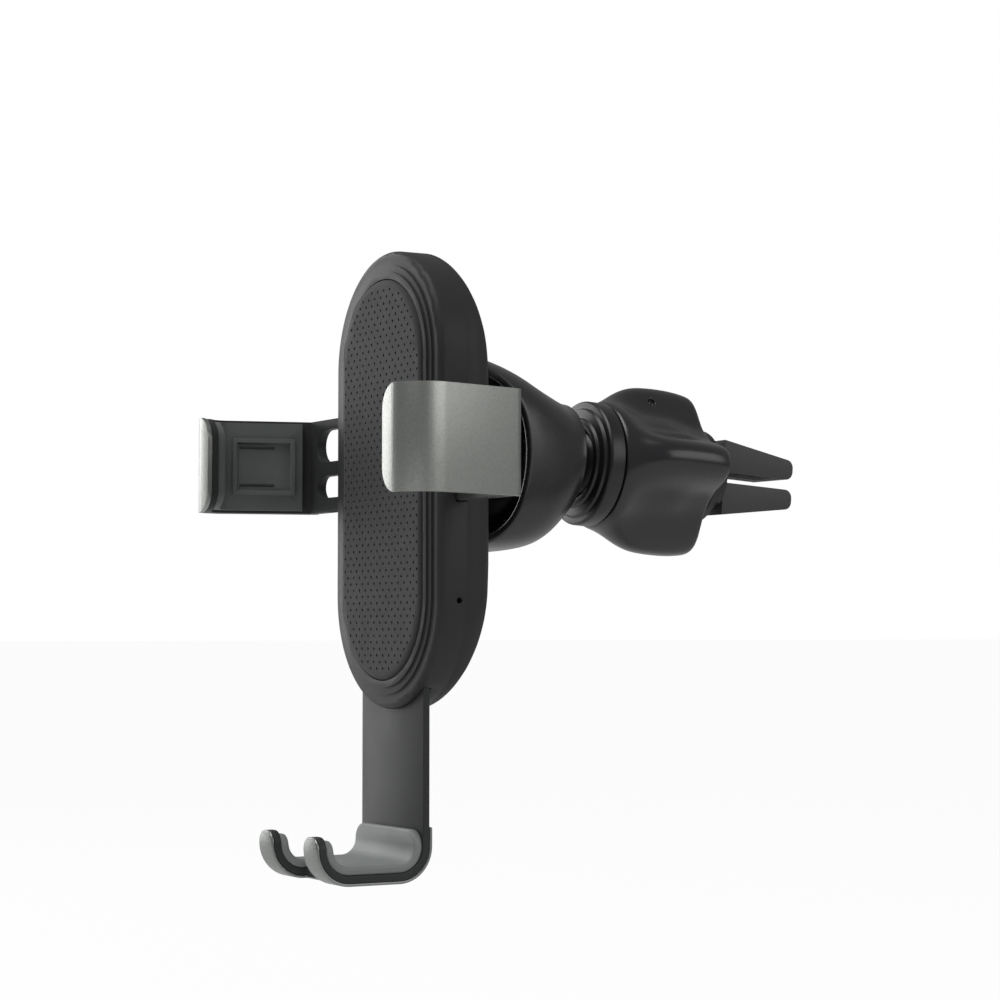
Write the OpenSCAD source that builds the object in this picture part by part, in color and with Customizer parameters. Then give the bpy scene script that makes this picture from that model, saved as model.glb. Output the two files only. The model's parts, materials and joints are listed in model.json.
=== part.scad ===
// Gravity phone holder that clips on an air vent blade.
// Millimetres. Origin: centre of the pad's front face. +X right, -Y towards the phone, +Z up.
// The foot slides down under the phone's weight and its slanted slots draw both arms in.

/* [Body] */
// Width of the oval body
body_w = 42; // [41:0.5:46]
// Height of the oval body
body_h = 84.5; // [80:0.5:92]
// How far back the body reaches at its middle
body_back = 13; // [12.6:0.1:15]
// Wall of the body shells
wall = 1.6; // [1.2:0.1:1.8]
// Radius of the crown along the body's back
crown_r = 165; // [155:1:240]
// Radius of the rounded edge round the body's back
back_round = 4.6; // [3:0.1:5.2]
// Width of the front pad
pad_w = 31.4; // [28:0.2:32]
// Thickness of the front pad
pad_t = 1.4; // [1:0.1:1.5]

/* [Foot] */
// Width of the foot plate
foot_w = 24.6; // [23:0.2:27.6]
// Depth of the sheet that the foot slider is bent from
foot_t = 1.3; // [1.1:0.1:1.8]
// Depth of the metal skin outside the foot
trim_t = 0.6; // [0.5:0.1:1]
// Depth of the soft lining inside the foot
lining_t = 1.6; // [0.8:0.1:2]
// Distance from the origin down to the underside of the foot
foot_drop = 73; // [71:0.5:84]
// How far the hooks reach in front of the pad
hook_reach = 18.5; // [14:0.5:20]
// Height of the hooks above the underside of the foot
hook_h = 8.8; // [8:0.2:12]
// Width of the cable gap between the hooks
hook_gap = 13.2; // [6:0.1:14]
// Outer radius of the foot's bends
foot_bend = 6.5; // [5.6:0.1:7]

/* [Arms] */
// Height of the arms
arm_h = 18.2; // [16:0.2:22]
// Height of the arms' middle above the origin
arm_z = 4.4; // [3:0.1:8]
// Thickness of the arm plates
arm_t = 2; // [1.6:0.1:2.2]
// Distance from the middle to the arm's outer back corner
arm_reach = 41.3; // [38:0.1:46]
// Angle by which the clamp walls splay outwards to the front
splay = 15; // [8:1:18]
// How far the clamps reach in front of the pad
clamp_reach = 18.5; // [16:0.5:21]
// Outer radius of the clamp's front bend
clamp_bend = 6; // [5.2:0.1:6.4]
// Width of the lip that turns in at the clamp's front
lip_w = 3.2; // [2:0.1:4.5]
// Thickness of the clamp's metal cover
cover_t = 0.9; // [0.7:0.1:1.1]
// Thickness of the clamp's soft pad
grip_t = 1.6; // [1:0.1:2]
// Distance from the middle to each arm's guide pin
pin_x = 11.5; // [11:0.1:12]
// Radius of the guide pins
pin_r = 1.25; // [1:0.05:1.4]

/* [Travel] */
// How far the foot lifts, which opens the arms by as much
open_travel = 4.5; // [3:0.1:4.6]
// How far the foot drops, which closes the arms by as much
close_travel = 8; // [6:0.1:8.4]

/* [Hood] */
// Width of the hood at its base
hood_w = 31; // [28:0.5:34]
// Height of the hood at its base
hood_h = 37.4; // [32:0.2:40]
// Height of the hood's middle above the origin
hood_z = 5.2; // [3:0.1:6]
// Radius of the hood's rear end
hood_end_r = 10.8; // [10.6:0.1:11.6]

/* [Ball joint] */
// Distance from the pad's front back to the ball's centre
ball_y = 47; // [46.6:0.1:50]
// Height of the ball's centre above the origin
ball_z = 4.1; // [3:0.1:6]
// Radius of the ball
ball_r = 8; // [7.6:0.1:8.2]
// Radius of the ball's neck
neck_r = 4.3; // [3.8:0.1:4.6]
// Angle by which the clip's axis falls to the rear
clip_tilt = 4; // [0:1:10]

/* [Clip] */
// Radius of the knob over its lobes
knob_r = 16.3; // [15.6:0.1:17.5]
// Radius of the knob in the valleys between its lobes
knob_valley = 11.2; // [10.6:0.1:12]
// Radius of the knob's front collar
collar_r = 12.4; // [12.3:0.1:13.2]
// Distance from the ball's centre back to the knob's rear face
knob_rear = 21.5; // [20.5:0.1:22]
// Radius of the threaded stem inside the knob
stem_r = 7.5; // [7.3:0.1:8]
// Distance from the ball's centre back to the jaw tips
jaw_tip = 42.5; // [38:0.5:50]
// Width of the jaws
jaw_w = 11; // [9:0.2:14]
// Slot between the jaws, which takes the vent blade
jaw_slot = 2; // [1.8:0.1:2.6]

/* [Hidden] */
$fn = 64;
hull_fn = 32;

// Clearances
slip = 0.2;       // between sliding flat faces
soft_gap = 0.3;   // between curved faces that move past each other
fit = 0.05;       // radial clearance of a running fit
over = 1;         // how far a cutter runs past what it cuts

// Body, from front to back
body_r = body_w / 2;
race_half = body_h / 2 - body_r;
pad_r = pad_w / 2;
floor_t = 0.8;
floor_back = pad_t + floor_t;
foot_front = floor_back + 0.4;
foot_back = foot_front + foot_t;
arm_front = foot_back + 0.7;
arm_back = arm_front + arm_t;
seam = arm_back + slip;
step_n = 3;
step_w = (body_r - 1.3 - pad_r - 0.1) / step_n;
step_d = 0.35;
rim_front = 0.45;
cavity_r = body_r - wall;
side_hole_r = 0.55;
side_hole_y = floor_back + 3;
side_hole_z = -22.5;

// Case screws
screw_r = 0.8;
screw_head_r = 1.5;
screw_head_t = 1;
screw_sink = 2.6;

// Cam plate on the foot slider
cam_half_w = pin_x + open_travel + pin_r + slip + 0.9;
cam_low = arm_z - open_travel - pin_r - 3;
cam_high = arm_z + close_travel + pin_r + 1.6;
rib_t = 1.2;
rib_gap = 4;

// Screw posts, clear of the cam plate and inside the oval wall
post_r = 1.8;
post_z = cam_high + open_travel + post_r + 1.4;
post_x = sqrt(pow(cavity_r - post_r - 0.5, 2) - pow(max(0, post_z - race_half), 2));

// How far the cable gap cuts into the foot
gap_depth = 7;

// Spring
spring_r = 1.2;
spring_wire = 0.3;
spring_coils = 13;
spring_y = foot_back + spring_r + spring_wire + 0.3;
spring_low = cam_high + 2.2;
spring_high = race_half + 13;
hook_pin_r = 0.7;

// Arms and clamps
arm_x0 = pin_x - pin_r - 1.2;
wall_dir = [sin(splay), -cos(splay)];
wall_out = [cos(splay), sin(splay)];
bend_y = -clamp_reach + clamp_bend;
clamp_wall = 1.6;
wall_len = (arm_back - clamp_bend * wall_out[1] - bend_y) / cos(splay);
bend_x = arm_reach + wall_len * wall_dir[0] - clamp_bend * wall_out[0];
tip_x = bend_x - lip_w;
lip_round = 4.4;
window_x0 = 17;
window_x1 = 36.4;
window_z = [arm_z + 4, arm_z - 4.1];
window_h = [6.4, 4.3];
ridge_t = 0.7;
inner_start = (arm_t - (cover_t + clamp_wall) * wall_out[1]) / cos(splay);

// Raised frame and slits on the clamp's pad
frame_z = arm_h / 2 - 4;
frame_w = 0.9;
frame_near = 5;
frame_far = wall_len - 0.8;
slit_w = 0.6;
slit_z = 3.7;
slit_near = 9;
slit_far = frame_far - 1.4;

// Rounded back corner of the clamp
corner_r = 2;
corner_at = [arm_reach - corner_r * (1 - sin(splay)) / cos(splay), arm_back - corner_r];

// Hood and neck
hood_base = 12.2;
hood_wall = 1.8;
hood_end = -8.8;
hood_plate_t = 3.4;
arch_depth = 11.6;
arch_h = 34;
arch_z = hood_z - 0.8;
hood_post_r = 3;
hood_post_len = 6;
hood_post_z = [hood_z + 11.6, hood_z - 12];
hood_screw_r = 1.2;
hood_screw_head_r = 2.4;
hood_screw_head_t = 1.2;
washer_r = 7;
washer_t = 0.8;

// Socket, clip core, knob
liner_t = 1;
liner_front = -1.2;
liner_back = 5.5;
cup_in_r = ball_r + liner_t + 2 * soft_gap;
cup_r = cup_in_r + 1;
cup_front = -3.2;
cup_back = cup_in_r + 1.9;
stem_back = 25.5;
ring_r = cup_r + 1.4;
ring_front = -5.4;
ring_back = -1;
ring_lip_r = 7;
ring_step = 0.6;
knob_front = -0.7;
knob_bore = stem_r + fit + 0.05;
knob_lobes = 4;
knob_turn = 7;
knob_ring_t = 1.2;
tang_half = 4;
tang_top = 5.6;
tang_low = 0.6;
tang_front = 14;
jaw_pivot_y = 17.5;
jaw_pivot_z = 3.3;
jaw_pin_r = 1.25;
jaw_root_h = 6.4;
jaw_tip_h = 4;
jaw_root = 25.9;
jaw_pad_t = 0.8;

// Points of an arc in a sketch
function arc(c, r, a0, a1, n = 12) =
    [for (i = [0:n]) c + r * [cos(a0 + (a1 - a0) * i / n), sin(a0 + (a1 - a0) * i / n)]];

// A list of points in the opposite order
function turned(list) = [for (i = [len(list) - 1:-1:0]) list[i]];

// A slot with round ends between two points of a sketch
module slot_sketch(a, b, r) {
    turn = atan2(b[1] - a[1], b[0] - a[0]);
    polygon(concat(arc(b, r, turn - 90, turn + 90), arc(a, r, turn + 90, turn + 270)));
}

// A sketch in X and Z, given depth from y0 to y1
module slab(y0, y1) {
    translate([0, y1, 0]) rotate([90, 0, 0]) linear_extrude(y1 - y0) children();
}

// A sketch of radius against depth, turned about the Y axis
module turn_y() {
    rotate([-90, 0, 0]) rotate_extrude() children();
}

// A sketch of radius against depth, run round the oval
module race() {
    for (s = [-1, 1]) translate([0, 0, s * race_half])
        rotate([-90, 0, 0]) rotate([0, 0, 90 + 90 * s]) rotate_extrude(angle = 180) children();
    translate([0, 0, -race_half]) linear_extrude(2 * race_half) {
        children();
        mirror([1, 0]) children();
    }
}

// A round bar along Y
module bar_y(r, y0, y1) {
    translate([0, y0, 0]) rotate([-90, 0, 0]) cylinder(r = r, h = y1 - y0);
}

// A sketch in Y and Z, given width from x0 to x1
module side_slab(x0, x1) {
    translate([x0, 0, 0]) rotate([90, 0, 90]) linear_extrude(x1 - x0) children();
}

// The clip's own frame: ball centre, Y along the clip's axis to the rear
module clip_frame() {
    translate([0, ball_y, ball_z]) rotate([-clip_tilt, 0, 0]) children();
}

// Places of the four case screws
module at_posts() {
    for (x = [-post_x, post_x], z = [-post_z, post_z]) translate([x, 0, z]) children();
}

// Body depth behind the seam, moved in by the given amount
module back_form(inset) {
    r = body_r - inset;
    e = back_round - inset / 2;
    top = body_back - inset;
    intersection() {
        race() polygon(concat(
            [[0, seam - (inset > 0 ? over : 0)], [r, seam - (inset > 0 ? over : 0)]],
            arc([r - e, top - e], e, 0, 90, 8),
            [[0, top]]));
        translate([0, top - crown_r, 0]) rotate([0, 90, 0])
            cylinder(r = crown_r, h = body_w + 2 * over, center = true, $fn = 180);
    }
}

module arm_slots(grow) {
    translate([-body_w, arm_front - grow, arm_z - arm_h / 2 - grow])
        cube([2 * body_w, arm_t + 2 * grow, arm_h + 2 * grow]);
}

module front_shell() color("dimgray") {
    difference() {
        race() polygon(concat(
            [[0, pad_t], [pad_r + 0.1, pad_t]],
            [for (i = [0:step_n - 1], k = [0, 1])
                [pad_r + 0.1 + (i + k) * step_w, rim_front + i * step_d]],
            arc([body_r - 1.3, rim_front + (step_n - 1) * step_d + 1.3], 1.3, -90, 0, 6),
            [[body_r, seam], [cavity_r, seam], [cavity_r, floor_back], [0, floor_back]]));
        arm_slots(slip);
        translate([-foot_w / 2 - slip, foot_front - slip, -body_h])
            cube([foot_w + 2 * slip, foot_t + 2 * slip, body_h - race_half]);
        translate([-body_w / 2 - over, side_hole_y, side_hole_z])
            rotate([0, 90, 0]) cylinder(r = side_hole_r, h = body_w + 2 * over, $fn = 24);
    }
    difference() {
        at_posts() bar_y(post_r, floor_back, seam);
        at_posts() bar_y(screw_r + fit, floor_back + over, seam + over);
    }
    for (s = [-1, 1]) translate([s * (foot_w / 2 + slip + rib_t / 2), 0, 0])
        translate([-rib_t / 2, floor_back, -race_half + post_r])
            cube([rib_t, foot_t + 0.4, race_half + cam_low - close_travel - post_r - 1]);
    translate([0, 0, spring_high]) bar_y(hook_pin_r, floor_back, spring_y + hook_pin_r);
}

module rear_shell() color([0.16, 0.16, 0.17]) {
    difference() {
        back_form(0);
        difference() {
            back_form(wall);
            at_posts() bar_y(post_r + 0.6, seam, body_back);
            for (s = [-1, 1], x = [-cavity_r, rib_gap])
                translate([x, seam, arm_z + s * (arm_h / 2 + rib_t) - rib_t / 2])
                    cube([cavity_r - rib_gap, body_back, rib_t]);
        }
        at_posts() bar_y(screw_r + 0.2, seam - over, body_back + over);
        at_posts() bar_y(screw_head_r + slip, seam + screw_sink - screw_head_t, body_back + over);
        for (z = hood_post_z) translate([0, 0, z])
            bar_y(hood_screw_r + 0.15, seam, body_back + over);
    }
}

module case_screws() color("silver") at_posts() difference() {
    union() {
        bar_y(screw_r, floor_back + 1.4, seam + screw_sink - screw_head_t);
        bar_y(screw_head_r, seam + screw_sink - screw_head_t, seam + screw_sink);
    }
    translate([-0.25, seam + screw_sink - 0.5, -1]) cube([0.5, over, 2]);
    translate([-1, seam + screw_sink - 0.5, -0.25]) cube([2, over, 0.5]);
}

module front_pad() color([0.3, 0.3, 0.3]) {
    bevel = 0.5;
    race() polygon([[0, 0], [pad_r - bevel * 1.6, 0], [pad_r - bevel * 0.4, bevel * 0.4],
        [pad_r, bevel * 1.4], [pad_r, pad_t], [0, pad_t]]);
}

// Side view of the foot at a depth in from its outer face, from its back to its hook
function foot_side(d, rear_top, front_top) = let (
    rear = foot_back + trim_t, low = -foot_drop + foot_bend, front = -hook_reach) concat(
    [[rear - d, rear_top]],
    arc([rear - foot_bend, low], foot_bend - d, 0, -90),
    arc([front + foot_bend, low], foot_bend - d, -90, -180),
    [[front + d, front_top]]);

// Section of the foot between two such depths
module foot_band(a, b, rear_top, front_top) {
    polygon(concat(foot_side(a, rear_top, front_top), turned(foot_side(b, rear_top, front_top))));
}

// Cable gap and rounded corners of the hooks
module hook_cuts(half_w) {
    hr = 2.2;
    top = -foot_drop + hook_h;
    translate([-hook_gap / 2, -hook_reach - over, -foot_drop - over])
        cube([hook_gap, gap_depth + over, hook_h + 2 * over]);
    for (x = [-half_w, -hook_gap / 2, hook_gap / 2, half_w]) {
        s = (x == -half_w || x == hook_gap / 2) ? 1 : -1;
        translate([x + s * hr, 0, top - hr]) slab(-hook_reach - over, -hook_reach + foot_bend)
            difference() {
                translate([s > 0 ? -hr - over : 0, 0]) square([hr + over, hr + over]);
                circle(r = hr, $fn = 32);
            }
    }
}

module foot_slider() color([0.2, 0.2, 0.21]) {
    hook_top = -foot_drop + hook_h;
    difference() {
        side_slab(-foot_w / 2, foot_w / 2)
            foot_band(trim_t, trim_t + foot_t, cam_low + over, hook_top);
        hook_cuts(foot_w / 2);
    }
    difference() {
        translate([-cam_half_w, foot_front, cam_low])
            cube([2 * cam_half_w, foot_t, cam_high - cam_low]);
        for (s = [0, 1]) mirror([s, 0, 0]) slab(foot_front - over, foot_back + over)
            slot_sketch([pin_x - close_travel, arm_z + close_travel],
                [pin_x + open_travel, arm_z - open_travel], pin_r + fit + 0.05);
    }
    translate([-3, foot_front, cam_high]) cube([6, foot_t, spring_low - cam_high + 1.2]);
    translate([0, 0, spring_low]) bar_y(hook_pin_r, foot_front, spring_y + hook_pin_r);
}

module foot_trim() color([0.45, 0.46, 0.45]) difference() {
    side_slab(-foot_w / 2, foot_w / 2)
        foot_band(0, trim_t, -foot_drop + foot_bend + 3.4, -foot_drop + hook_h);
    hook_cuts(foot_w / 2);
}

module foot_pad() color([0.55, 0.58, 0.56]) {
    in = trim_t + foot_t;
    half = foot_w / 2 - 0.3;
    top = -foot_drop + hook_h + 0.6;
    corner = 3;
    difference() {
        side_slab(-half, half) foot_band(in, in + lining_t, top, top - 1.3);
        translate([0, 0, -0.7]) hook_cuts(half);
        for (s = [-1, 1]) translate([s * (half - corner), 0, top - corner])
            slab(foot_front - lining_t - over, foot_front + over) difference() {
                translate([s > 0 ? 0 : -corner - over, 0]) square([corner + over, corner + over]);
                circle(r = corner, $fn = 32);
            }
    }
}

// Extension spring that lifts the empty foot: a coil and two end loops on their pins
module return_spring() color("silver") {
    sides = 6;
    steps = 12;
    n = spring_coils * steps;
    low = spring_low + hook_pin_r + fit;
    high = spring_high - hook_pin_r - fit;
    pts = [for (i = [0:n], k = [0:sides - 1])
        let (a = 360 * i / steps, b = 360 * k / sides,
             r = spring_r + spring_wire * cos(b),
             z = low + spring_wire + (high - low - 2 * spring_wire) * i / n + spring_wire * sin(b))
        [r * cos(a), spring_y + r * sin(a), z]];
    faces = concat(
        [for (i = [0:n - 1], k = [0:sides - 1]) let (m = (k + 1) % sides)
            [i * sides + k, i * sides + m, (i + 1) * sides + m, (i + 1) * sides + k]],
        [[for (k = [sides - 1:-1:0]) k]],
        [[for (k = [0:sides - 1]) n * sides + k]]);
    polyhedron(points = pts, faces = faces, convexity = 10);
}

// Top view of the right clamp's front at a depth in from its outer face, from its bend to its lip
function clamp_front(d, lip_cut) = concat(
    arc([bend_x, bend_y], clamp_bend - d, splay, -90, 16),
    [[tip_x + lip_cut, -clamp_reach + d]]);

// Place on the clamp's wall, so far in from its outer face and so far along from its back corner
function on_wall(d, along) = [arm_reach, arm_back] + along * wall_dir - d * wall_out;

// Top view of the clamp's outer face and rounded back corner at a depth in
function clamp_outside(d, lip_cut) = concat(arc(corner_at, corner_r - d, 90, splay, 6), clamp_front(d, lip_cut));

// Round off the four corners of a lip of the given height
module lip_corners(h, edge) {
    for (s = [-1, 1]) translate([edge + lip_round, 0, arm_z + s * (h / 2 - lip_round)])
        slab(-clamp_reach - over, -clamp_reach + clamp_bend - over) difference() {
            translate([-lip_round - over, s > 0 ? 0 : -lip_round - over])
                square([lip_round + over, lip_round + over]);
            circle(r = lip_round, $fn = 48);
        }
}

module upright(h) {
    translate([0, 0, arm_z - h / 2]) linear_extrude(h) children();
}

// Right arm: plate, clamp wall, lip and guide pin
module arm() {
    difference() {
        union() {
            upright(arm_h) polygon(concat(
                [[arm_x0, arm_front], [arm_x0, arm_back], [corner_at[0], arm_back]],
                clamp_outside(cover_t, 0.5),
                turned(clamp_front(cover_t + clamp_wall, 0.5)),
                [on_wall(cover_t + clamp_wall, inner_start)]));
            translate([pin_x, 0, arm_z]) bar_y(pin_r, foot_front + 0.2, arm_front + over);
        }
        for (i = [0, 1]) {
            r = window_h[i] / 2;
            slab(arm_front - over, arm_back + over)
                slot_sketch([window_x0 + r, window_z[i]], [window_x1 - r, window_z[i]], r);
        }
        lip_corners(arm_h, tip_x + 0.5);
    }
}

module arm_cover() {
    difference() {
        upright(arm_h + 0.2)
            polygon(concat(clamp_outside(0, 0), turned(clamp_outside(cover_t, 0))));
        lip_corners(arm_h + 0.2, tip_x);
    }
}

// Soft pad with a raised frame and two slits
module arm_pad() {
    base = cover_t + clamp_wall;
    difference() {
        union() {
            upright(arm_h - 1) polygon(concat(
                [on_wall(base, 3.4)], clamp_front(base, 0.9),
                turned(clamp_front(base + grip_t, 0.9)), [on_wall(base + grip_t, 3.4)]));
            for (z = [-1, 1]) translate([0, 0, z * frame_z])
                upright(frame_w) wall_box(base + grip_t, base + grip_t + ridge_t, frame_near, frame_far);
            for (near = [frame_near, frame_far - frame_w]) upright(2 * frame_z + frame_w)
                wall_box(base + grip_t, base + grip_t + ridge_t, near, near + frame_w);
        }
        lip_corners(arm_h - 1, tip_x + 0.9);
        for (z = [-1, 1]) translate([0, 0, z * slit_z]) upright(slit_w)
            wall_box(base + grip_t - 0.6, base + grip_t + over, slit_near, slit_far);
    }
}

// Rectangle along the clamp's wall, between two depths and two distances from its back corner
module wall_box(d0, d1, near, far) {
    polygon([on_wall(d0, near), on_wall(d0, far), on_wall(d1, far), on_wall(d1, near)]);
}

module right_arm() color([0.3, 0.3, 0.3]) arm();
module right_arm_cover() color([0.55, 0.55, 0.52]) arm_cover();
module right_arm_pad() color([0.36, 0.38, 0.37]) arm_pad();
module left_arm() color([0.3, 0.3, 0.3]) mirror([1, 0, 0]) arm();
module left_arm_cover() color([0.55, 0.55, 0.52]) mirror([1, 0, 0]) arm_cover();
module left_arm_pad() color([0.36, 0.38, 0.37]) mirror([1, 0, 0]) arm_pad();

// Corners of a rounded box section of the hood at one depth
module hood_slice(y, half_w, low, high, round) {
    for (x = [-1, 1], z = [low + round, high - round])
        translate([x * (half_w - round), y, z]) rotate([-90, 0, 0]) cylinder(r = round, h = 0.1, $fn = hull_fn);
}

module hood_form(inset) {
    low = hood_z - hood_h / 2 + inset;
    high = hood_z + hood_h / 2 - inset;
    half_w = hood_w / 2 - inset;
    front = hood_base - (inset > 0 ? over : 0);
    rear = hood_end - (inset > 0 ? hood_plate_t : 0);
    hull() {
        hood_slice(front, half_w, low, high, 8 - inset);
        hood_slice(hood_base + 9, half_w - 0.8, low + 0.2, high - 2.2, 8 - inset);
        hood_slice(hood_base + 18, half_w - 2.4, low + 1.4, high - 6.2, 8 - inset);
        clip_frame() translate([0, rear - 3, 0]) rotate([-90, 0, 0])
            cylinder(r = hood_end_r - inset, h = 3, $fn = 2 * hull_fn);
    }
}

// Side openings where the hood arches off the body, wider at the top
module hood_arches() {
    side_slab(-hood_w, hood_w) polygon([for (i = [0:24])
        let (a = -90 + 180 * i / 24, reach = pow(abs(cos(a)), 0.7) * (1 + 0.12 * sin(a)))
        [hood_base - over + (arch_depth + over) * reach, arch_z + arch_h / 2 * sin(a)]]);
}

module hood() color([0.13, 0.13, 0.14]) {
    difference() {
        hood_form(0);
        hood_form(hood_wall);
        hood_arches();
        back_clear();
        clip_frame() bar_y(neck_r + soft_gap, hood_end - hood_plate_t - over, hood_end + over);
    }
    difference() {
        for (z = hood_post_z) translate([0, 0, z])
            bar_y(hood_post_r, hood_base - over, hood_base + hood_post_len);
        back_clear();
        for (z = hood_post_z) translate([0, 0, z])
            bar_y(hood_screw_r + fit, hood_base - 2 * over, hood_base + hood_post_len - 1);
    }
    for (ends = [[hood_post_z[0] + hood_post_r - 0.3, hood_z + hood_h / 2 - 1],
                 [hood_z - hood_h / 2 + 1, hood_post_z[1] - hood_post_r + 0.3]])
        translate([-0.7, hood_base + 0.9, ends[0]])
            cube([1.4, hood_post_len - 2, ends[1] - ends[0]]);
}

// Space taken by the body's crowned back
module back_clear() {
    translate([0, body_back - crown_r, 0]) rotate([0, 90, 0])
        cylinder(r = crown_r, h = 2 * body_w, center = true, $fn = 180);
}

module hood_screws() color("silver") for (z = hood_post_z) translate([0, 0, z]) {
    head = body_back - wall - pow(abs(z) + hood_screw_head_r, 2) / 2 / (crown_r - wall);
    bar_y(hood_screw_head_r, head - hood_screw_head_t - 0.1, head - 0.1);
    bar_y(hood_screw_r, head - 0.2, hood_base + hood_post_len - 1.4);
}

module ball_stud() color([0.1, 0.1, 0.1]) clip_frame() difference() {
    union() {
        sphere(r = ball_r, $fn = 96);
        bar_y(neck_r, hood_end - hood_plate_t - soft_gap, 0);
    }
    bar_y(1.2, hood_end - hood_plate_t - over, -4);
}

module neck_washer() color("silver") clip_frame() difference() {
    seat = hood_end - hood_plate_t - soft_gap;
    bar_y(washer_r, seat - washer_t, seat);
    bar_y(1.2 + slip, seat - washer_t - over, seat + over);
}

module neck_screw() color("silver") clip_frame() {
    seat = hood_end - hood_plate_t - soft_gap - washer_t;
    difference() {
        bar_y(2.6, seat - 1.5, seat);
        translate([-0.3, seat - 1.5 - over, -1.6]) cube([0.6, over + 0.7, 3.2]);
        translate([-1.6, seat - 1.5 - over, -0.3]) cube([3.2, over + 0.7, 0.6]);
    }
    bar_y(1.2 - fit, seat - 0.1, -4.4);
}

module socket_liner() color([0.75, 0.75, 0.72]) clip_frame() {
    inner = ball_r + soft_gap;
    outer = inner + liner_t;
    turn_y() polygon(concat(
        arc([0, 0], outer, asin(liner_front / outer), asin(liner_back / outer), 16),
        arc([0, 0], inner, asin(liner_back / inner), asin(liner_front / inner), 16)));
}

module socket_ring() color([0.12, 0.12, 0.12]) clip_frame()
    turn_y() polygon([[ring_lip_r, ring_front + 0.3], [ring_lip_r + 0.3, ring_front], [cup_r - 2.2, ring_front],
        [cup_r - 1.9, ring_front + ring_step], [cup_r - 0.3, ring_front + ring_step],
        [cup_r, ring_front + 2 * ring_step], [ring_r - 0.4, ring_front + 2 * ring_step],
        [ring_r, ring_front + 2 * ring_step + 0.4], [ring_r, ring_back],
        [cup_r + fit, ring_back], [cup_r + fit, cup_front], [ring_lip_r + 0.8, cup_front]]);

module clip_core() color([0.14, 0.14, 0.14]) clip_frame() difference() {
    union() {
        bar_y(cup_r, cup_front, cup_back);
        bar_y(stem_r, cup_back - over, stem_back);
    }
    sphere(r = cup_in_r, $fn = 96);
    bar_y(cup_in_r, cup_front - over, 0);
    translate([-tang_half - soft_gap, tang_front - 0.5, -2 * stem_r])
        cube([2 * (tang_half + soft_gap), stem_back, 4 * stem_r]);
    for (z = [-1, 1]) translate([-stem_r - over, jaw_pivot_y, z * jaw_pivot_z])
        rotate([0, 90, 0]) cylinder(r = jaw_pin_r + fit, h = 2 * (stem_r + over));
}

// Lobed outline of the knob
module knob_outline() {
    mid = (knob_r + knob_valley) / 2;
    wave = (knob_r - knob_valley) / 2;
    polygon([for (i = [0:2:358])
        (mid + wave * cos(knob_lobes * (i - knob_turn))) * [cos(i), sin(i)]]);
}

module clamp_knob() color([0.15, 0.15, 0.16]) clip_frame() difference() {
    union() {
        intersection() {
            slab(knob_front, knob_rear) knob_outline();
            turn_y() polygon(concat(
                [[0, knob_front]],
                arc([collar_r - 2, knob_front + 2], 2, -90, -20, 5),
                arc([knob_r - 6.2, 9.2], 6.2, -50, 0, 6),
                arc([knob_r - 4.5, knob_rear - 5.2], 4.5, 0, 75, 6),
                [[knob_r - 6, knob_rear], [0, knob_rear]]));
        }
        turn_y() polygon([[0, knob_front], [collar_r - 0.8, knob_front], [collar_r, knob_front + 0.8],
            [collar_r, cup_back - 1], [collar_r - 1.6, cup_back + 2.4], [0, cup_back + 2.4]]);
    }
    bar_y(cup_r + soft_gap, knob_front - over, cup_back + 0.3);
    bar_y(knob_bore, knob_front, knob_rear + over);
}

module knob_ring() color("silver") clip_frame() difference() {
    bar_y(stem_r + 1.7, knob_rear + soft_gap, knob_rear + soft_gap + knob_ring_t);
    bar_y(stem_r + fit, knob_rear, knob_rear + soft_gap + knob_ring_t + over);
}

// Upper jaw in the clip's frame: tang on its pivot, then the tapered prong
module jaw() {
    low = jaw_slot / 2;
    tip_r = 1.6;
    difference() {
        union() {
            side_slab(-tang_half, tang_half)
                polygon([[tang_front, tang_low + 0.6], [tang_front + 0.6, tang_low], [jaw_root + 1, tang_low + 0.4],
                    [jaw_root + 1, tang_top], [tang_front + 1.2, tang_top], [tang_front, tang_top - 1.2]]);
            side_slab(-jaw_w / 2, jaw_w / 2) polygon(concat(
                [[jaw_root, low]],
                arc([jaw_tip - tip_r, low + tip_r], tip_r, -90, 0, 6),
                arc([jaw_tip - tip_r, low + jaw_tip_h - tip_r], tip_r, 0, 78, 6),
                [[jaw_root, low + jaw_root_h]]));
        }
        translate([-tang_half - over, jaw_pivot_y, jaw_pivot_z])
            rotate([0, 90, 0]) cylinder(r = jaw_pin_r + fit, h = 2 * (tang_half + over));
        translate([-jaw_w / 2 + 1, jaw_root + 2, low - over])
            cube([jaw_w - 2, jaw_tip - jaw_root - 4.5, jaw_pad_t + over]);
    }
}

module jaw_pad() {
    low = jaw_slot / 2;
    difference() {
        translate([-jaw_w / 2 + 1, jaw_root + 2, low])
            cube([jaw_w - 2, jaw_tip - jaw_root - 4.5, jaw_pad_t]);
        for (i = [1:6]) translate([-jaw_w / 2, jaw_root + 1.6 + 2 * i, low - over])
            cube([jaw_w, 0.6, over + 0.35]);
    }
}

module upper_jaw() color([0.2, 0.2, 0.2]) clip_frame() jaw();
module upper_jaw_pad() color([0.1, 0.1, 0.1]) clip_frame() jaw_pad();
module lower_jaw() color([0.2, 0.2, 0.2]) clip_frame() mirror([0, 0, 1]) jaw();
module lower_jaw_pad() color([0.1, 0.1, 0.1]) clip_frame() mirror([0, 0, 1]) jaw_pad();

// Pivot pins of the jaws, just shorter than the stem is wide there
module jaw_pins() color("silver") clip_frame() for (z = [-1, 1]) {
    half = sqrt(pow(stem_r, 2) - pow(jaw_pivot_z + jaw_pin_r, 2)) - slip;
    translate([-half, jaw_pivot_y, z * jaw_pivot_z])
        rotate([0, 90, 0]) cylinder(r = jaw_pin_r, h = 2 * half);
}

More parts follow.
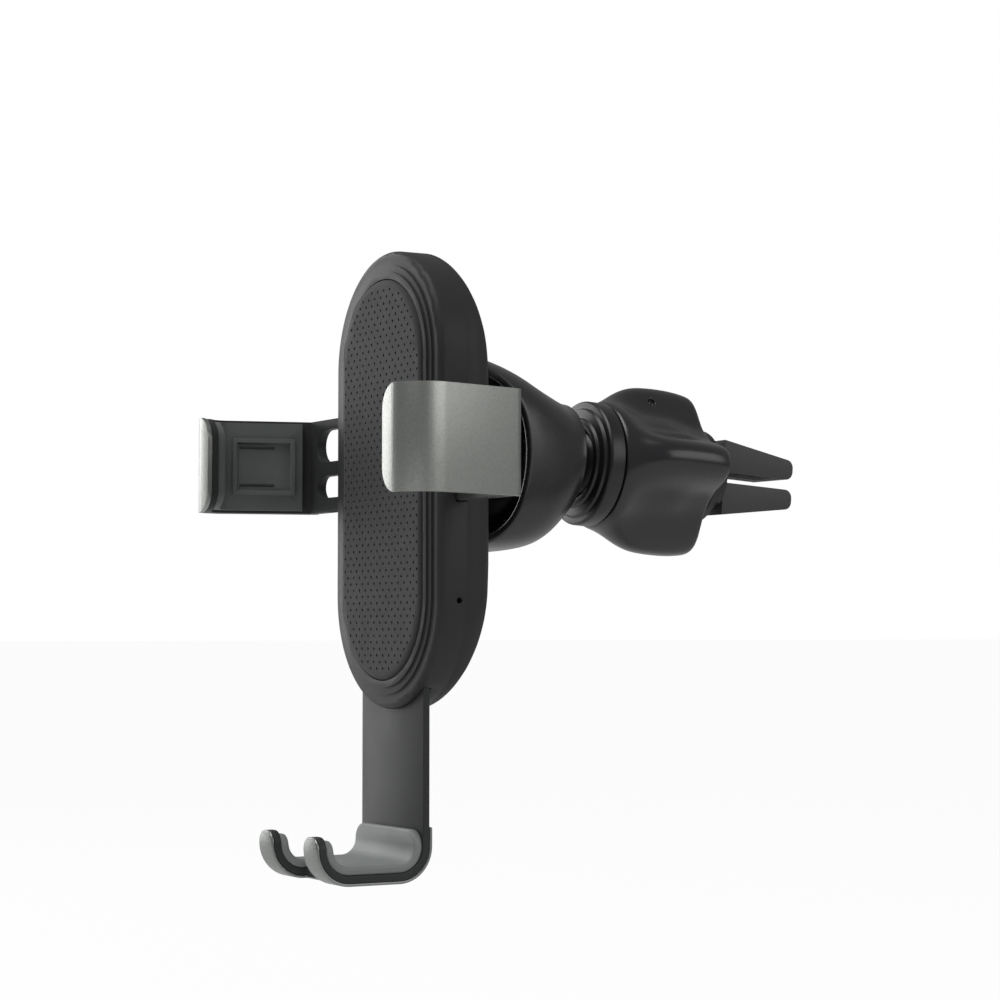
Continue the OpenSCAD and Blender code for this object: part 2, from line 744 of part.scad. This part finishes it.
front_shell();
rear_shell();
front_pad();
case_screws();
foot_slider();
foot_trim();
foot_pad();
return_spring();
left_arm();
left_arm_cover();
left_arm_pad();
right_arm();
right_arm_cover();
right_arm_pad();
hood();
hood_screws();
ball_stud();
neck_washer();
neck_screw();
socket_liner();
socket_ring();
clip_core();
clamp_knob();
knob_ring();
upper_jaw();
upper_jaw_pad();
lower_jaw();
lower_jaw_pad();
jaw_pins();
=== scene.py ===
import bmesh
import bpy
import json
from math import cos, radians, sin
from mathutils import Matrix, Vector

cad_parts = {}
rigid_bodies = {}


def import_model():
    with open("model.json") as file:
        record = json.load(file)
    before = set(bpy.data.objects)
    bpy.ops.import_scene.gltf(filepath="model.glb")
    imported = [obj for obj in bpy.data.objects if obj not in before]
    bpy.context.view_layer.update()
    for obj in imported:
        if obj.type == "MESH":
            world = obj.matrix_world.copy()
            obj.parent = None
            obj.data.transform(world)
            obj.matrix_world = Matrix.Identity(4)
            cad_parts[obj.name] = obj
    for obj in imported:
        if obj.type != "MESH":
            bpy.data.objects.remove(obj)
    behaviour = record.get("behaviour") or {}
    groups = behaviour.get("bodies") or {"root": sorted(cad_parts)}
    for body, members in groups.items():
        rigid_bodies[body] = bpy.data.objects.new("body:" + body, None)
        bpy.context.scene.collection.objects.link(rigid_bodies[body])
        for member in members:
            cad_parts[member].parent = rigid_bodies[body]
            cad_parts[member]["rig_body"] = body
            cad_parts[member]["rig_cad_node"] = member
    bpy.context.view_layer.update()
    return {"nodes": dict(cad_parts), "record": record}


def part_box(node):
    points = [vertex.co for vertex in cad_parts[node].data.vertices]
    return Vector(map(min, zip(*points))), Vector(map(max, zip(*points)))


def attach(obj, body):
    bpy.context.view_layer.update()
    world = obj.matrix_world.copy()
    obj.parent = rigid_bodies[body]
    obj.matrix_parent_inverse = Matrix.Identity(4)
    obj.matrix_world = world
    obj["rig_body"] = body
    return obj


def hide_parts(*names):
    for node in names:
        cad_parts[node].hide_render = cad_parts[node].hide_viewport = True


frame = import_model()

# Lengths are in millimetres and angles in degrees, unless a line says otherwise
MM = 0.001
SAME_PLACE = 0.01
MERGED_BELOW = 0.004
CAGE_MERGED_BELOW = 0.01
SMOOTH_LEVELS = 2

# Camera: the point it looks from, its direction and its lens
CAMERA_AT = (418.7, -213.4, -28.1)
CAMERA_AZIMUTH = 60.3
CAMERA_ELEVATION = -2.96
FOCAL_PIXELS = 2553
PICTURE_PIXELS = 1000
SENSOR_MM = 36

# Clip: the ball's centre and the tilt of the clip's axis
BALL = Vector((0, 47, 4.1))
CLIP_TILT = 4

# Edge left by the mould or the press on each softened piece
EDGES = {
    "front_shell": 0.12, "rear_shell": 0.3, "foot_slider": 0.3, "foot_trim": 0.25, "foot_pad": 0.4,
    "left_arm_cover": 0.3, "right_arm_cover": 0.3, "left_arm_pad": 0.25, "right_arm_pad": 0.25,
    "clip_core": 0.2, "socket_ring": 0.15, "upper_jaw": 0.4, "lower_jaw": 0.4,
}
ARM_EDGE = 0.3
PAD_EDGE = 0.15
EDGE_SEGMENTS = 3
ROUNDED_ABOVE = 32
SHARP_ABOVE = 38
FLAT_BELOW = 0.6

# Pad and its pits
PAD_R = 15.7
PAD_HALF = 21.25
PIT_R = 0.42
PIT_TAPER = 0.45
PIT_DEEP = 0.3
PIT_STEP = 2.4
PIT_ROW = 1.2
PIT_COLUMNS = 8
PIT_EDGE = 1.1

# Teeth on the lower edge of each arm
TOOTH_PITCH = 0.7
TOOTH_WIDTH = 0.42
TOOTH_FROM = 22
TOOTH_COUNT = 15
ARM_Y = 5.6
ARM_THICK = 2.6

# Knob: depth, then the radii from the middle of a lobe to the middle of a valley
KNOB_SIDES = 36
KNOB_SECTOR = 9
KNOB_TURN = 7
KNOB_BORE = (10.9,) * 5
KNOB_STEM = (7.6,) * 5
KNOB_RINGS = [
    (-0.4, KNOB_BORE),
    (-0.7, (11.4,) * 5),
    (-0.6, (12.1,) * 5),
    (0.2, (12.5, 12.5, 12.5, 12.4, 12.4)),
    (1.6, (13.2, 13.1, 12.8, 12.5, 12.4)),
    (3.4, (14.6, 14.3, 13.0, 12.0, 11.8)),
    (6.0, (16.1, 15.6, 13.0, 11.5, 11.3)),
    (9.0, (16.7, 16.2, 13.1, 11.3, 11.2)),
    (13.0, (16.8, 16.3, 13.1, 11.2, 11.1)),
    (16.0, (16.7, 16.2, 13.0, 10.7, 10.3)),
    (18.5, (16.4, 15.9, 12.8, 10.4, 10.0)),
    (20.6, (16.0, 15.5, 12.5, 10.3, 9.8)),
    (21.4, (14.6, 14.2, 11.8, 10.0, 9.6)),
    (21.5, (11.2, 11.0, 10.2, 9.5, 9.2)),
    (21.5, (7.9,) * 5),
    (21.1, KNOB_STEM),
    (12.6, KNOB_STEM),
    (12.3, (8.0,) * 5),
    (12.2, (10.5,) * 5),
    (11.8, KNOB_BORE),
    (0.4, KNOB_BORE),
    (-0.4, KNOB_BORE),
]
DIMPLE_TURN = 79
DIMPLE_Y = 10
DIMPLE_OUT = 13.5
DIMPLE_R = 0.8

# Hood: depth, half width, half height, height of its middle, squareness
HOOD_SHAPE = [
    (12.4, 15.5, 18.7, 5.2, 4.0),
    (17.0, 15.2, 18.2, 4.8, 3.8),
    (21.2, 14.7, 17.6, 4.3, 3.6),
    (26.0, 14.0, 16.4, 3.6, 3.4),
    (30.2, 13.1, 14.9, 3.0, 3.1),
    (34.0, 12.0, 12.9, 3.7, 2.6),
    (36.5, 11.2, 11.4, 4.4, 2.2),
    (37.6, 10.9, 10.9, 4.7, 2.0),
]
HOOD_SHARES = (0, 0.05, 0.18, 0.34, 0.5, 0.66, 0.8, 0.9, 0.97, 1.0)
HOOD_SIDES = 32
HOOD_FRONT = 12.4
HOOD_REAR = 38.2
HOOD_END_Z = 4.7
HOOD_END_R = 10.8
HOOD_END_EDGE = 0.5
HOOD_FACE_R = 8.0
HOOD_WALL = 1.6
NECK_HOLE_R = 4.7
ARCH_DEPTH = 11.6
ARCH_HALF = 17
ARCH_Z = 4.4
ARCH_FULLNESS = 0.35
ARCH_LEAN = 0.12
CREASE_STEP = 10
CREASE_FROM = 2
CREASE_SHARPNESS = 0.9
POSTS_LOW = (-4, 11, -12.2)
POSTS_HIGH = (4, 18.6, 22.6)

# Lights: name, place and aim in metres, size, power
LIGHTS = [
    ("left_window", (-0.90, -0.27, 0.28), (0, 0, 0), (0.40, 0.8), 3.6),
    ("roof", (0.05, -0.35, 0.85), (0, 0.03, 0), (0.6, 0.7), 5.5),
    ("side_window", (0.80, 0.50, 0.34), (0, 0.04, 0), (0.9, 0.5), 2.3),
]
AMBIENT = 0.19
MIRRORED_BACKGROUND = 0.10

# Floor, with its size and height in metres
FLOOR_SIZE = 60
FLOOR_Z = -0.14
FLOOR_WHITE = 0.9
FLOOR_ROUGHNESS = 0.9
FLOOR_GLOW = 0.96


def place_camera():
    a = radians(CAMERA_AZIMUTH)
    e = radians(CAMERA_ELEVATION)
    back = Vector((sin(a) * cos(e), -cos(a) * cos(e), sin(e)))
    camera = bpy.data.objects.new("camera", bpy.data.cameras.new("camera"))
    bpy.context.scene.collection.objects.link(camera)
    camera.location = Vector(CAMERA_AT) * MM
    camera.rotation_euler = back.to_track_quat("Z", "Y").to_euler()
    camera.data.sensor_width = SENSOR_MM
    camera.data.lens = FOCAL_PIXELS / PICTURE_PIXELS * SENSOR_MM
    camera.data.clip_start = 0.01
    bpy.context.scene.camera = camera


def area_light(name, at, aim, size, power):
    light = bpy.data.lights.new(name, "AREA")
    light.shape = "RECTANGLE"
    light.size, light.size_y = size
    light.energy = power
    lamp = bpy.data.objects.new(name, light)
    lamp.location = at
    lamp.rotation_euler = (Vector(at) - Vector(aim)).to_track_quat("Z", "Y").to_euler()
    bpy.context.scene.collection.objects.link(lamp)


class Value:
    """A shader socket whose sums and products become maths nodes"""
    tree = None

    def __init__(self, socket):
        self.socket = socket

    @classmethod
    def node(cls, kind, settings=None, out=0, **sockets):
        made = cls.tree.nodes.new(kind)
        for key, value in (settings or {}).items():
            setattr(made, key, value)
        for key, value in sockets.items():
            name = key.replace("_", " ")
            target = made.inputs[int(name[1:])] if name[1:].isdigit() else made.inputs[name]
            if isinstance(value, Value):
                cls.tree.links.new(value.socket, target)
            else:
                target.default_value = value
        return cls(made.outputs[out])

    def _math(self, operation, other):
        return Value.node("ShaderNodeMath", {"operation": operation}, i0=self, i1=other)

    def __add__(self, other):
        return self._math("ADD", other)

    def __mul__(self, other):
        return self._math("MULTIPLY", other)

    __radd__ = __add__
    __rmul__ = __mul__


def object_place():
    return Value.node("ShaderNodeTexCoord", out=3)


def stretched(scale):
    return Value.node("ShaderNodeMapping", Vector=object_place(), Scale=scale)


def noise(place, scale, detail=2.0, roughness=0.5):
    return Value.node("ShaderNodeTexNoise", Vector=place, Scale=scale, Detail=detail, Roughness=roughness)


def blend_colours(factor, dark, light):
    return Value.node("ShaderNodeMix", {"data_type": "RGBA"}, out=2, Factor=factor, i6=dark, i7=light)


def colour(rgb):
    return (*rgb, 1.0)


def finish(name, build):
    material = bpy.data.materials.new(name)
    material.use_nodes = True
    tree = material.node_tree
    Value.tree = tree
    shader = tree.nodes["Principled BSDF"]
    for key, value in build().items():
        target = shader.inputs[key]
        if isinstance(value, Value):
            tree.links.new(value.socket, target)
        else:
            target.default_value = value
    return material


def bump(height, strength, distance):
    return Value.node("ShaderNodeBump", Strength=strength, Distance=distance, Height=height)


def tinted(rgb, spread, scale):
    """A colour that drifts a little over the surface"""
    mask = noise(object_place(), scale, 3.0)
    dark = colour([c * (1 - spread) for c in rgb])
    light = colour([c * (1 + spread) for c in rgb])
    return blend_colours(mask, dark, light)


def moulded(rgb, gloss, grain=0.16, coat=0.0, shine=0.5):
    """Moulded plastic: fine spark-eroded grain, slight drift in colour and gloss"""
    def build():
        fine = noise(object_place(), 5200.0, 2.0, 0.6)
        broad = noise(object_place(), 160.0, 3.0)
        return {"Base Color": tinted(rgb, 0.10, 60.0),
                "Roughness": broad * 0.10 + (gloss - 0.05),
                "Normal": bump(fine, grain, 0.00006),
                "Coat Weight": coat,
                "Coat Roughness": 0.18,
                "Specular IOR Level": shine,
                "IOR": 1.47}
    return build


def satin_metal(rgb, gloss):
    """Bead-blasted anodised sheet with a faint upright brushing"""
    def build():
        brushed = noise(stretched((1.0, 1.0, 0.06)), 3600.0, 3.0, 0.6)
        blasted = noise(object_place(), 3400.0, 3.0, 0.7)
        cloudy = noise(object_place(), 90.0, 3.0)
        return {"Base Color": tinted(rgb, 0.22, 3000.0),
                "Metallic": 1.0,
                "Roughness": cloudy * 0.06 + blasted * 0.10 + (gloss - 0.08),
                "Normal": bump(brushed * 0.3 + blasted, 0.35, 0.00008)}
    return build


def soft_rubber(rgb, gloss=0.72, shine=0.5):
    def build():
        fine = noise(object_place(), 4200.0, 3.0, 0.6)
        dusty = noise(object_place(), 220.0, 4.0)
        return {"Base Color": tinted(rgb, 0.12, 150.0),
                "Roughness": dusty * 0.12 + (gloss - 0.06),
                "Normal": bump(fine, 0.30, 0.00008),
                "Specular IOR Level": shine,
                "Sheen Weight": 0.06,
                "Sheen Roughness": 0.5}
    return build


def plated_steel():
    turned = noise(stretched((0.3, 1.0, 1.0)), 2500.0, 2.0)
    return {"Base Color": tinted((0.56, 0.56, 0.55), 0.06, 300.0),
            "Metallic": 1.0,
            "Roughness": turned * 0.12 + 0.26,
            "Normal": bump(turned, 0.15, 0.00004)}


FINISHES = {
    "shell_black": finish("shell_black", moulded((0.030, 0.030, 0.032), 0.46, shine=0.22)),
    "hood_black": finish("hood_black", moulded((0.014, 0.014, 0.016), 0.27, 0.08, 0.2)),
    "pad_rubber": finish("pad_rubber", soft_rubber((0.036, 0.036, 0.038), 0.66, 0.2)),
    "slider_plastic": finish("slider_plastic", moulded((0.036, 0.037, 0.038), 0.44, shine=0.2)),
    "cover_metal": finish("cover_metal", satin_metal((0.34, 0.352, 0.332), 0.36)),
    "trim_metal": finish("trim_metal", satin_metal((0.26, 0.27, 0.26), 0.38)),
    "lining_rubber": finish("lining_rubber", soft_rubber((0.20, 0.215, 0.205), 0.5)),
    "grip_rubber": finish("grip_rubber", soft_rubber((0.105, 0.118, 0.112), 0.55)),
    "steel": finish("steel", plated_steel),
    "joint_black": finish("joint_black", moulded((0.010, 0.010, 0.011), 0.34, 0.05)),
    "jaw_rubber": finish("jaw_rubber", soft_rubber((0.034, 0.034, 0.036), 0.5)),
}
NODE_SLOT = {row["node"]: row["material_slot"] for row in frame["record"]["subparts"]}


def active(piece):
    bpy.ops.object.select_all(action="DESELECT")
    bpy.context.view_layer.objects.active = piece
    piece.select_set(True)


def apply_all(piece):
    active(piece)
    for modifier in list(piece.modifiers):
        bpy.ops.object.modifier_apply(modifier=modifier.name)


def stand_for(piece, node):
    """Let a finished piece take a CAD node's place, with its finish and on its body"""
    name = NODE_SLOT[node]
    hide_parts(node)
    piece.data.materials.clear()
    piece.data.materials.append(FINISHES[name])
    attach(piece, frame["nodes"][node]["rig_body"])


def copied(node):
    """A CAD node's own shape as a new piece, with its loose triangles merged"""
    piece = frame["nodes"][node].copy()
    piece.data = piece.data.copy()
    piece.parent = None
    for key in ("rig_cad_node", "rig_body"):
        if key in piece:
            del piece[key]
    piece.name = node + "_dressed"
    bpy.context.scene.collection.objects.link(piece)
    active(piece)
    bpy.ops.object.mode_set(mode="EDIT")
    bpy.ops.mesh.select_all(action="SELECT")
    bpy.ops.mesh.remove_doubles(threshold=MERGED_BELOW * MM)
    bpy.ops.mesh.dissolve_limited(angle_limit=radians(FLAT_BELOW))
    bpy.ops.object.mode_set(mode="OBJECT")
    return piece


def softened(node, edge):
    """A copy of a CAD node with its edges rounded as a mould or a press leaves them"""
    piece = copied(node)
    rounding = piece.modifiers.new("rounding", "BEVEL")
    rounding.width = edge * MM
    rounding.segments = EDGE_SEGMENTS
    rounding.limit_method = "ANGLE"
    rounding.angle_limit = radians(ROUNDED_ABOVE)
    rounding.use_clamp_overlap = True
    apply_all(piece)
    bpy.ops.object.shade_smooth_by_angle(angle=radians(SHARP_ABOVE))
    stand_for(piece, node)
    return piece


def pick(piece, test):
    """Select the vertices of a piece in edit mode that pass a test on their place in millimetres"""
    mesh = bmesh.from_edit_mesh(piece.data)
    for vertex in mesh.verts:
        vertex.select = test(vertex.index, vertex.co / MM)
    mesh.select_flush_mode()
    bmesh.update_edit_mesh(piece.data)


def picked(piece):
    return {vertex.index for vertex in bmesh.from_edit_mesh(piece.data).verts if vertex.select}


def lay_on_clip(piece):
    """Move a piece that was made about the origin onto the clip's tilted axis"""
    active(piece)
    piece.rotation_euler = (radians(-CLIP_TILT), 0, 0)
    piece.location = BALL * MM
    bpy.ops.object.transform_apply(location=True, rotation=True, scale=True)


def close_and_smooth(piece):
    """Merge the doubles, turn the faces out and subdivide a cage to its smooth shape"""
    active(piece)
    bpy.ops.object.mode_set(mode="EDIT")
    bpy.ops.mesh.select_all(action="SELECT")
    bpy.ops.mesh.remove_doubles(threshold=CAGE_MERGED_BELOW * MM)
    bpy.ops.mesh.normals_make_consistent(inside=False)
    bpy.ops.object.mode_set(mode="OBJECT")
    smooth = piece.modifiers.new("smooth", "SUBSURF")
    smooth.levels = smooth.render_levels = SMOOTH_LEVELS
    apply_all(piece)
    bpy.ops.object.shade_smooth()


def carve(piece, cutter, keep="DIFFERENCE"):
    """Take a cutter's shape out of a piece, or keep only what lies in it"""
    active(cutter)
    bpy.ops.object.transform_apply(location=True, rotation=True, scale=True)
    cut = piece.modifiers.new("cut", "BOOLEAN")
    cut.operation = keep
    cut.solver = "EXACT"
    cut.object = cutter
    apply_all(piece)
    bpy.data.objects.remove(cutter)


def near(place, spot):
    """Whether a vertex lies at a spot or at its mirror image, left and right"""
    return (Vector((abs(place.x), place.y, place.z)) - Vector(spot)).length < SAME_PLACE


def drawn_cage(name, sides, rows):
    """A tube extruded ring by ring, alike left and right. A row holds the ring's places in
    millimetres from its bottom, over its right side, to its top"""
    bpy.ops.object.select_all(action="DESELECT")
    bpy.ops.mesh.primitive_circle_add(vertices=sides, radius=MM, rotation=(radians(90), 0, 0))
    piece = bpy.context.object
    piece.name = name
    bpy.ops.object.transform_apply(location=False, rotation=True, scale=True)
    last = [(sin(radians(360 * step / sides)), 0, -cos(radians(360 * step / sides)))
            for step in range(sides // 2 + 1)]
    bpy.ops.object.mode_set(mode="EDIT")
    bpy.ops.mesh.select_all(action="SELECT")
    for number, row in enumerate(rows):
        if number:
            bpy.ops.mesh.extrude_region_move(TRANSFORM_OT_translate={"value": (0, 0, 0)})
        newest = picked(piece)
        left = set(newest)
        for old, new in zip(last, row):
            pick(piece, lambda index, place: index in left and near(place, old))
            left -= picked(piece)
            if old[0] > SAME_PLACE:
                bpy.ops.transform.resize(value=(new[0] / old[0], 1, 1), center_override=(0, 0, 0))
            bpy.ops.transform.translate(value=(0, (new[1] - old[1]) * MM, (new[2] - old[2]) * MM))
        pick(piece, lambda index, place: index in newest)
        last = row
    bpy.ops.object.mode_set(mode="OBJECT")
    return piece


def between(y, table):
    """Read a table of rows, each a depth and its values, at a depth between them"""
    if y <= table[0][0]:
        return table[0][1:]
    for low, high in zip(table, table[1:]):
        if y <= high[0]:
            share = (y - low[0]) / (high[0] - low[0])
            return [a + (b - a) * share for a, b in zip(low[1:], high[1:])]
    return table[-1][1:]


def knob():
    """The clamp's knob: a round collar that swells into four finger lobes"""
    rows = []
    for depth, radii in KNOB_RINGS:
        row = []
        for step in range(KNOB_SIDES // 2 + 1):
            turn = radians(360 * step / KNOB_SIDES)
            radius = radii[min(step % KNOB_SECTOR, KNOB_SECTOR - step % KNOB_SECTOR)]
            row.append((radius * sin(turn), depth, -radius * cos(turn)))
        rows.append(row)
    piece = drawn_cage("knob", KNOB_SIDES, rows)
    active(piece)
    piece.rotation_euler = (0, radians(-KNOB_TURN), 0)
    bpy.ops.object.transform_apply(location=False, rotation=True, scale=False)
    close_and_smooth(piece)
    spot = radians(DIMPLE_TURN)
    bpy.ops.object.select_all(action="DESELECT")
    place = Vector((DIMPLE_OUT * cos(spot), DIMPLE_Y, DIMPLE_OUT * sin(spot))) * MM
    bpy.ops.mesh.primitive_uv_sphere_add(segments=24, ring_count=12, radius=DIMPLE_R * MM, location=place)
    carve(piece, bpy.context.object)
    lay_on_clip(piece)
    stand_for(piece, "clamp_knob")


def hood_place(y, turn):
    half_w, half_h, middle, square = between(y, HOOD_SHAPE)
    power = 2 / square
    across, up = sin(turn), -cos(turn)
    return (half_w * across ** power, y, middle + half_h * abs(up) ** power * (1 if up > 0 else -1))


def hood():
    """The hood behind the body: one curved wall, arched clear of the clamps' arms at both sides"""
    turns = [radians(360 * step / HOOD_SIDES) for step in range(HOOD_SIDES // 2 + 1)]
    rows = []
    for share in HOOD_SHARES:
        row = []
        for turn in turns:
            up = (hood_place(HOOD_FRONT, turn)[2] - ARCH_Z) / ARCH_HALF
            reach = ARCH_DEPTH * max(0, 1 - up * up) ** ARCH_FULLNESS * (1 + ARCH_LEAN * up)
            front = HOOD_FRONT + reach
            rear = HOOD_REAR - HOOD_END_R * cos(turn) * sin(radians(CLIP_TILT))
            row.append(hood_place(front + (rear - front) * share, turn))
        rows.append(row)
    for radius in (HOOD_END_R - HOOD_END_EDGE, HOOD_FACE_R, NECK_HOLE_R):
        rows.append([(radius * sin(turn), HOOD_REAR - radius * cos(turn) * sin(radians(CLIP_TILT)),
                      HOOD_END_Z - radius * cos(turn)) for turn in turns])
    piece = drawn_cage("hood_shell", HOOD_SIDES, rows)
    active(piece)
    bpy.ops.object.mode_set(mode="EDIT")
    crease = [row[CREASE_STEP] for row in rows[CREASE_FROM:len(HOOD_SHARES)]]
    pick(piece, lambda index, place: any(near(place, spot) for spot in crease))
    bpy.ops.transform.edge_crease(value=CREASE_SHARPNESS)
    bpy.ops.mesh.select_all(action="SELECT")
    bpy.ops.mesh.normals_make_consistent(inside=False)
    bpy.ops.object.mode_set(mode="OBJECT")
    wall = piece.modifiers.new("wall", "SOLIDIFY")
    wall.thickness = HOOD_WALL * MM
    wall.offset = -1
    wall.use_even_offset = True
    close_and_smooth(piece)
    posts = copied("hood")
    low, high = Vector(POSTS_LOW), Vector(POSTS_HIGH)
    bpy.ops.object.select_all(action="DESELECT")
    bpy.ops.mesh.primitive_cube_add(size=MM, location=(low + high) / 2 * MM, scale=high - low)
    carve(posts, bpy.context.object, "INTERSECT")
    bpy.ops.object.shade_smooth_by_angle(angle=radians(SHARP_ABOVE))
    active(piece)
    posts.select_set(True)
    bpy.ops.object.join()
    stand_for(piece, "hood")


def pad():
    """The soft pad on the body's front, with its staggered rows of small pits"""
    piece = softened("front_pad", PAD_EDGE)
    bpy.ops.object.select_all(action="DESELECT")
    bpy.ops.mesh.primitive_cone_add(vertices=8, radius1=PIT_R * MM, radius2=PIT_R * PIT_TAPER * MM,
                                    depth=2 * PIT_DEEP * MM, rotation=(radians(-90), 0, 0))
    pits = bpy.context.object
    pits.name = "pits"
    bpy.ops.object.mode_set(mode="EDIT")
    bpy.ops.mesh.select_all(action="SELECT")
    first = picked(pits)
    spots = []
    rows = int((PAD_HALF + PAD_R) / PIT_ROW)
    for number in range(-rows, rows + 1):
        for place in range(-PIT_COLUMNS, PIT_COLUMNS + 1):
            x = (place + (number % 2) / 2) * PIT_STEP
            z = number * PIT_ROW
            if Vector((x, 0, max(0, abs(z) - PAD_HALF))).length < PAD_R - PIT_EDGE:
                spots.append((x, z))
    for x, z in spots:
        pick(pits, lambda index, place: index in first)
        bpy.ops.mesh.duplicate_move(TRANSFORM_OT_translate={"value": (x * MM, 0, z * MM)})
    pick(pits, lambda index, place: index in first)
    bpy.ops.mesh.delete(type="VERT")
    bpy.ops.object.mode_set(mode="OBJECT")
    carve(piece, pits)


def toothed_arm(node, side):
    """An arm with the row of small teeth along its lower edge"""
    piece = softened(node, ARM_EDGE)
    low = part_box(node)[0][2] / MM
    bpy.ops.object.select_all(action="DESELECT")
    bpy.ops.mesh.primitive_cube_add(size=TOOTH_WIDTH * MM, location=(0, ARM_Y * MM, low * MM),
                                    rotation=(0, radians(45), 0))
    gaps = bpy.context.object
    gaps.name = "tooth_gaps"
    bpy.ops.object.mode_set(mode="EDIT")
    bpy.ops.mesh.select_all(action="SELECT")
    bpy.ops.transform.resize(value=(1, ARM_THICK / TOOTH_WIDTH, 1),
                             center_override=(0, ARM_Y * MM, low * MM))
    bpy.ops.transform.translate(value=(side * TOOTH_FROM * MM, 0, 0))
    for _ in range(TOOTH_COUNT - 1):
        bpy.ops.mesh.duplicate_move(TRANSFORM_OT_translate={"value": (side * TOOTH_PITCH * MM, 0, 0)})
    bpy.ops.object.mode_set(mode="OBJECT")
    carve(piece, gaps)


def dress_cad_nodes():
    """Give the CAD nodes their finishes. The ring under the knob is blackened"""
    for name, node in frame["nodes"].items():
        node.data.materials.clear()
        node.data.materials.append(FINISHES["joint_black" if name == "knob_ring" else NODE_SLOT[name]])


def floor_and_light():
    """A white floor and background for the camera, dimmer for the light that falls on the object"""
    white = bpy.context.scene.world or bpy.data.worlds.new("white")
    bpy.context.scene.world = white
    white.use_nodes = True
    tree = white.node_tree
    tree.nodes.clear()
    Value.tree = tree
    path = tree.nodes.new("ShaderNodeLightPath")
    seen = Value(path.outputs["Is Camera Ray"])
    mirrored = Value(path.outputs["Is Glossy Ray"])
    through = Value(path.outputs["Is Transmission Ray"])
    share = Value.node("ShaderNodeMath", {"operation": "MAXIMUM"}, i0=seen,
                       i1=mirrored * MIRRORED_BACKGROUND + through)
    dim = Value.node("ShaderNodeBackground", Color=colour((1, 1, 1)), Strength=AMBIENT)
    bright = Value.node("ShaderNodeBackground", Color=colour((1, 1, 1)), Strength=1.0)
    mix = Value.node("ShaderNodeMixShader", i0=share, i1=dim, i2=bright)
    output = tree.nodes.new("ShaderNodeOutputWorld")
    tree.links.new(mix.socket, output.inputs["Surface"])

    bpy.ops.object.select_all(action="DESELECT")
    bpy.ops.mesh.primitive_plane_add(size=FLOOR_SIZE, location=(0, 0, FLOOR_Z))
    floor = bpy.context.object
    floor.name = "floor"
    material = bpy.data.materials.new("floor_white")
    material.use_nodes = True
    tree = material.node_tree
    Value.tree = tree
    shader = tree.nodes["Principled BSDF"]
    shader.inputs["Base Color"].default_value = colour((FLOOR_WHITE,) * 3)
    shader.inputs["Roughness"].default_value = FLOOR_ROUGHNESS
    path = tree.nodes.new("ShaderNodeLightPath")
    glow = Value.node("ShaderNodeEmission", Color=colour((1, 1, 1)), Strength=1.0)
    share = Value(path.outputs["Is Camera Ray"]) * FLOOR_GLOW
    mix = Value.node("ShaderNodeMixShader", i0=share, i1=Value(shader.outputs[0]), i2=glow)
    tree.links.new(mix.socket, tree.nodes["Material Output"].inputs["Surface"])
    floor.data.materials.append(material)

    for light in LIGHTS:
        area_light(*light)


place_camera()
floor_and_light()
dress_cad_nodes()
for node_name, edge_mm in EDGES.items():
    softened(node_name, edge_mm)
toothed_arm("left_arm", -1)
toothed_arm("right_arm", 1)
knob()
hood()
pad()

bpy.context.scene.view_settings.view_transform = "Standard"
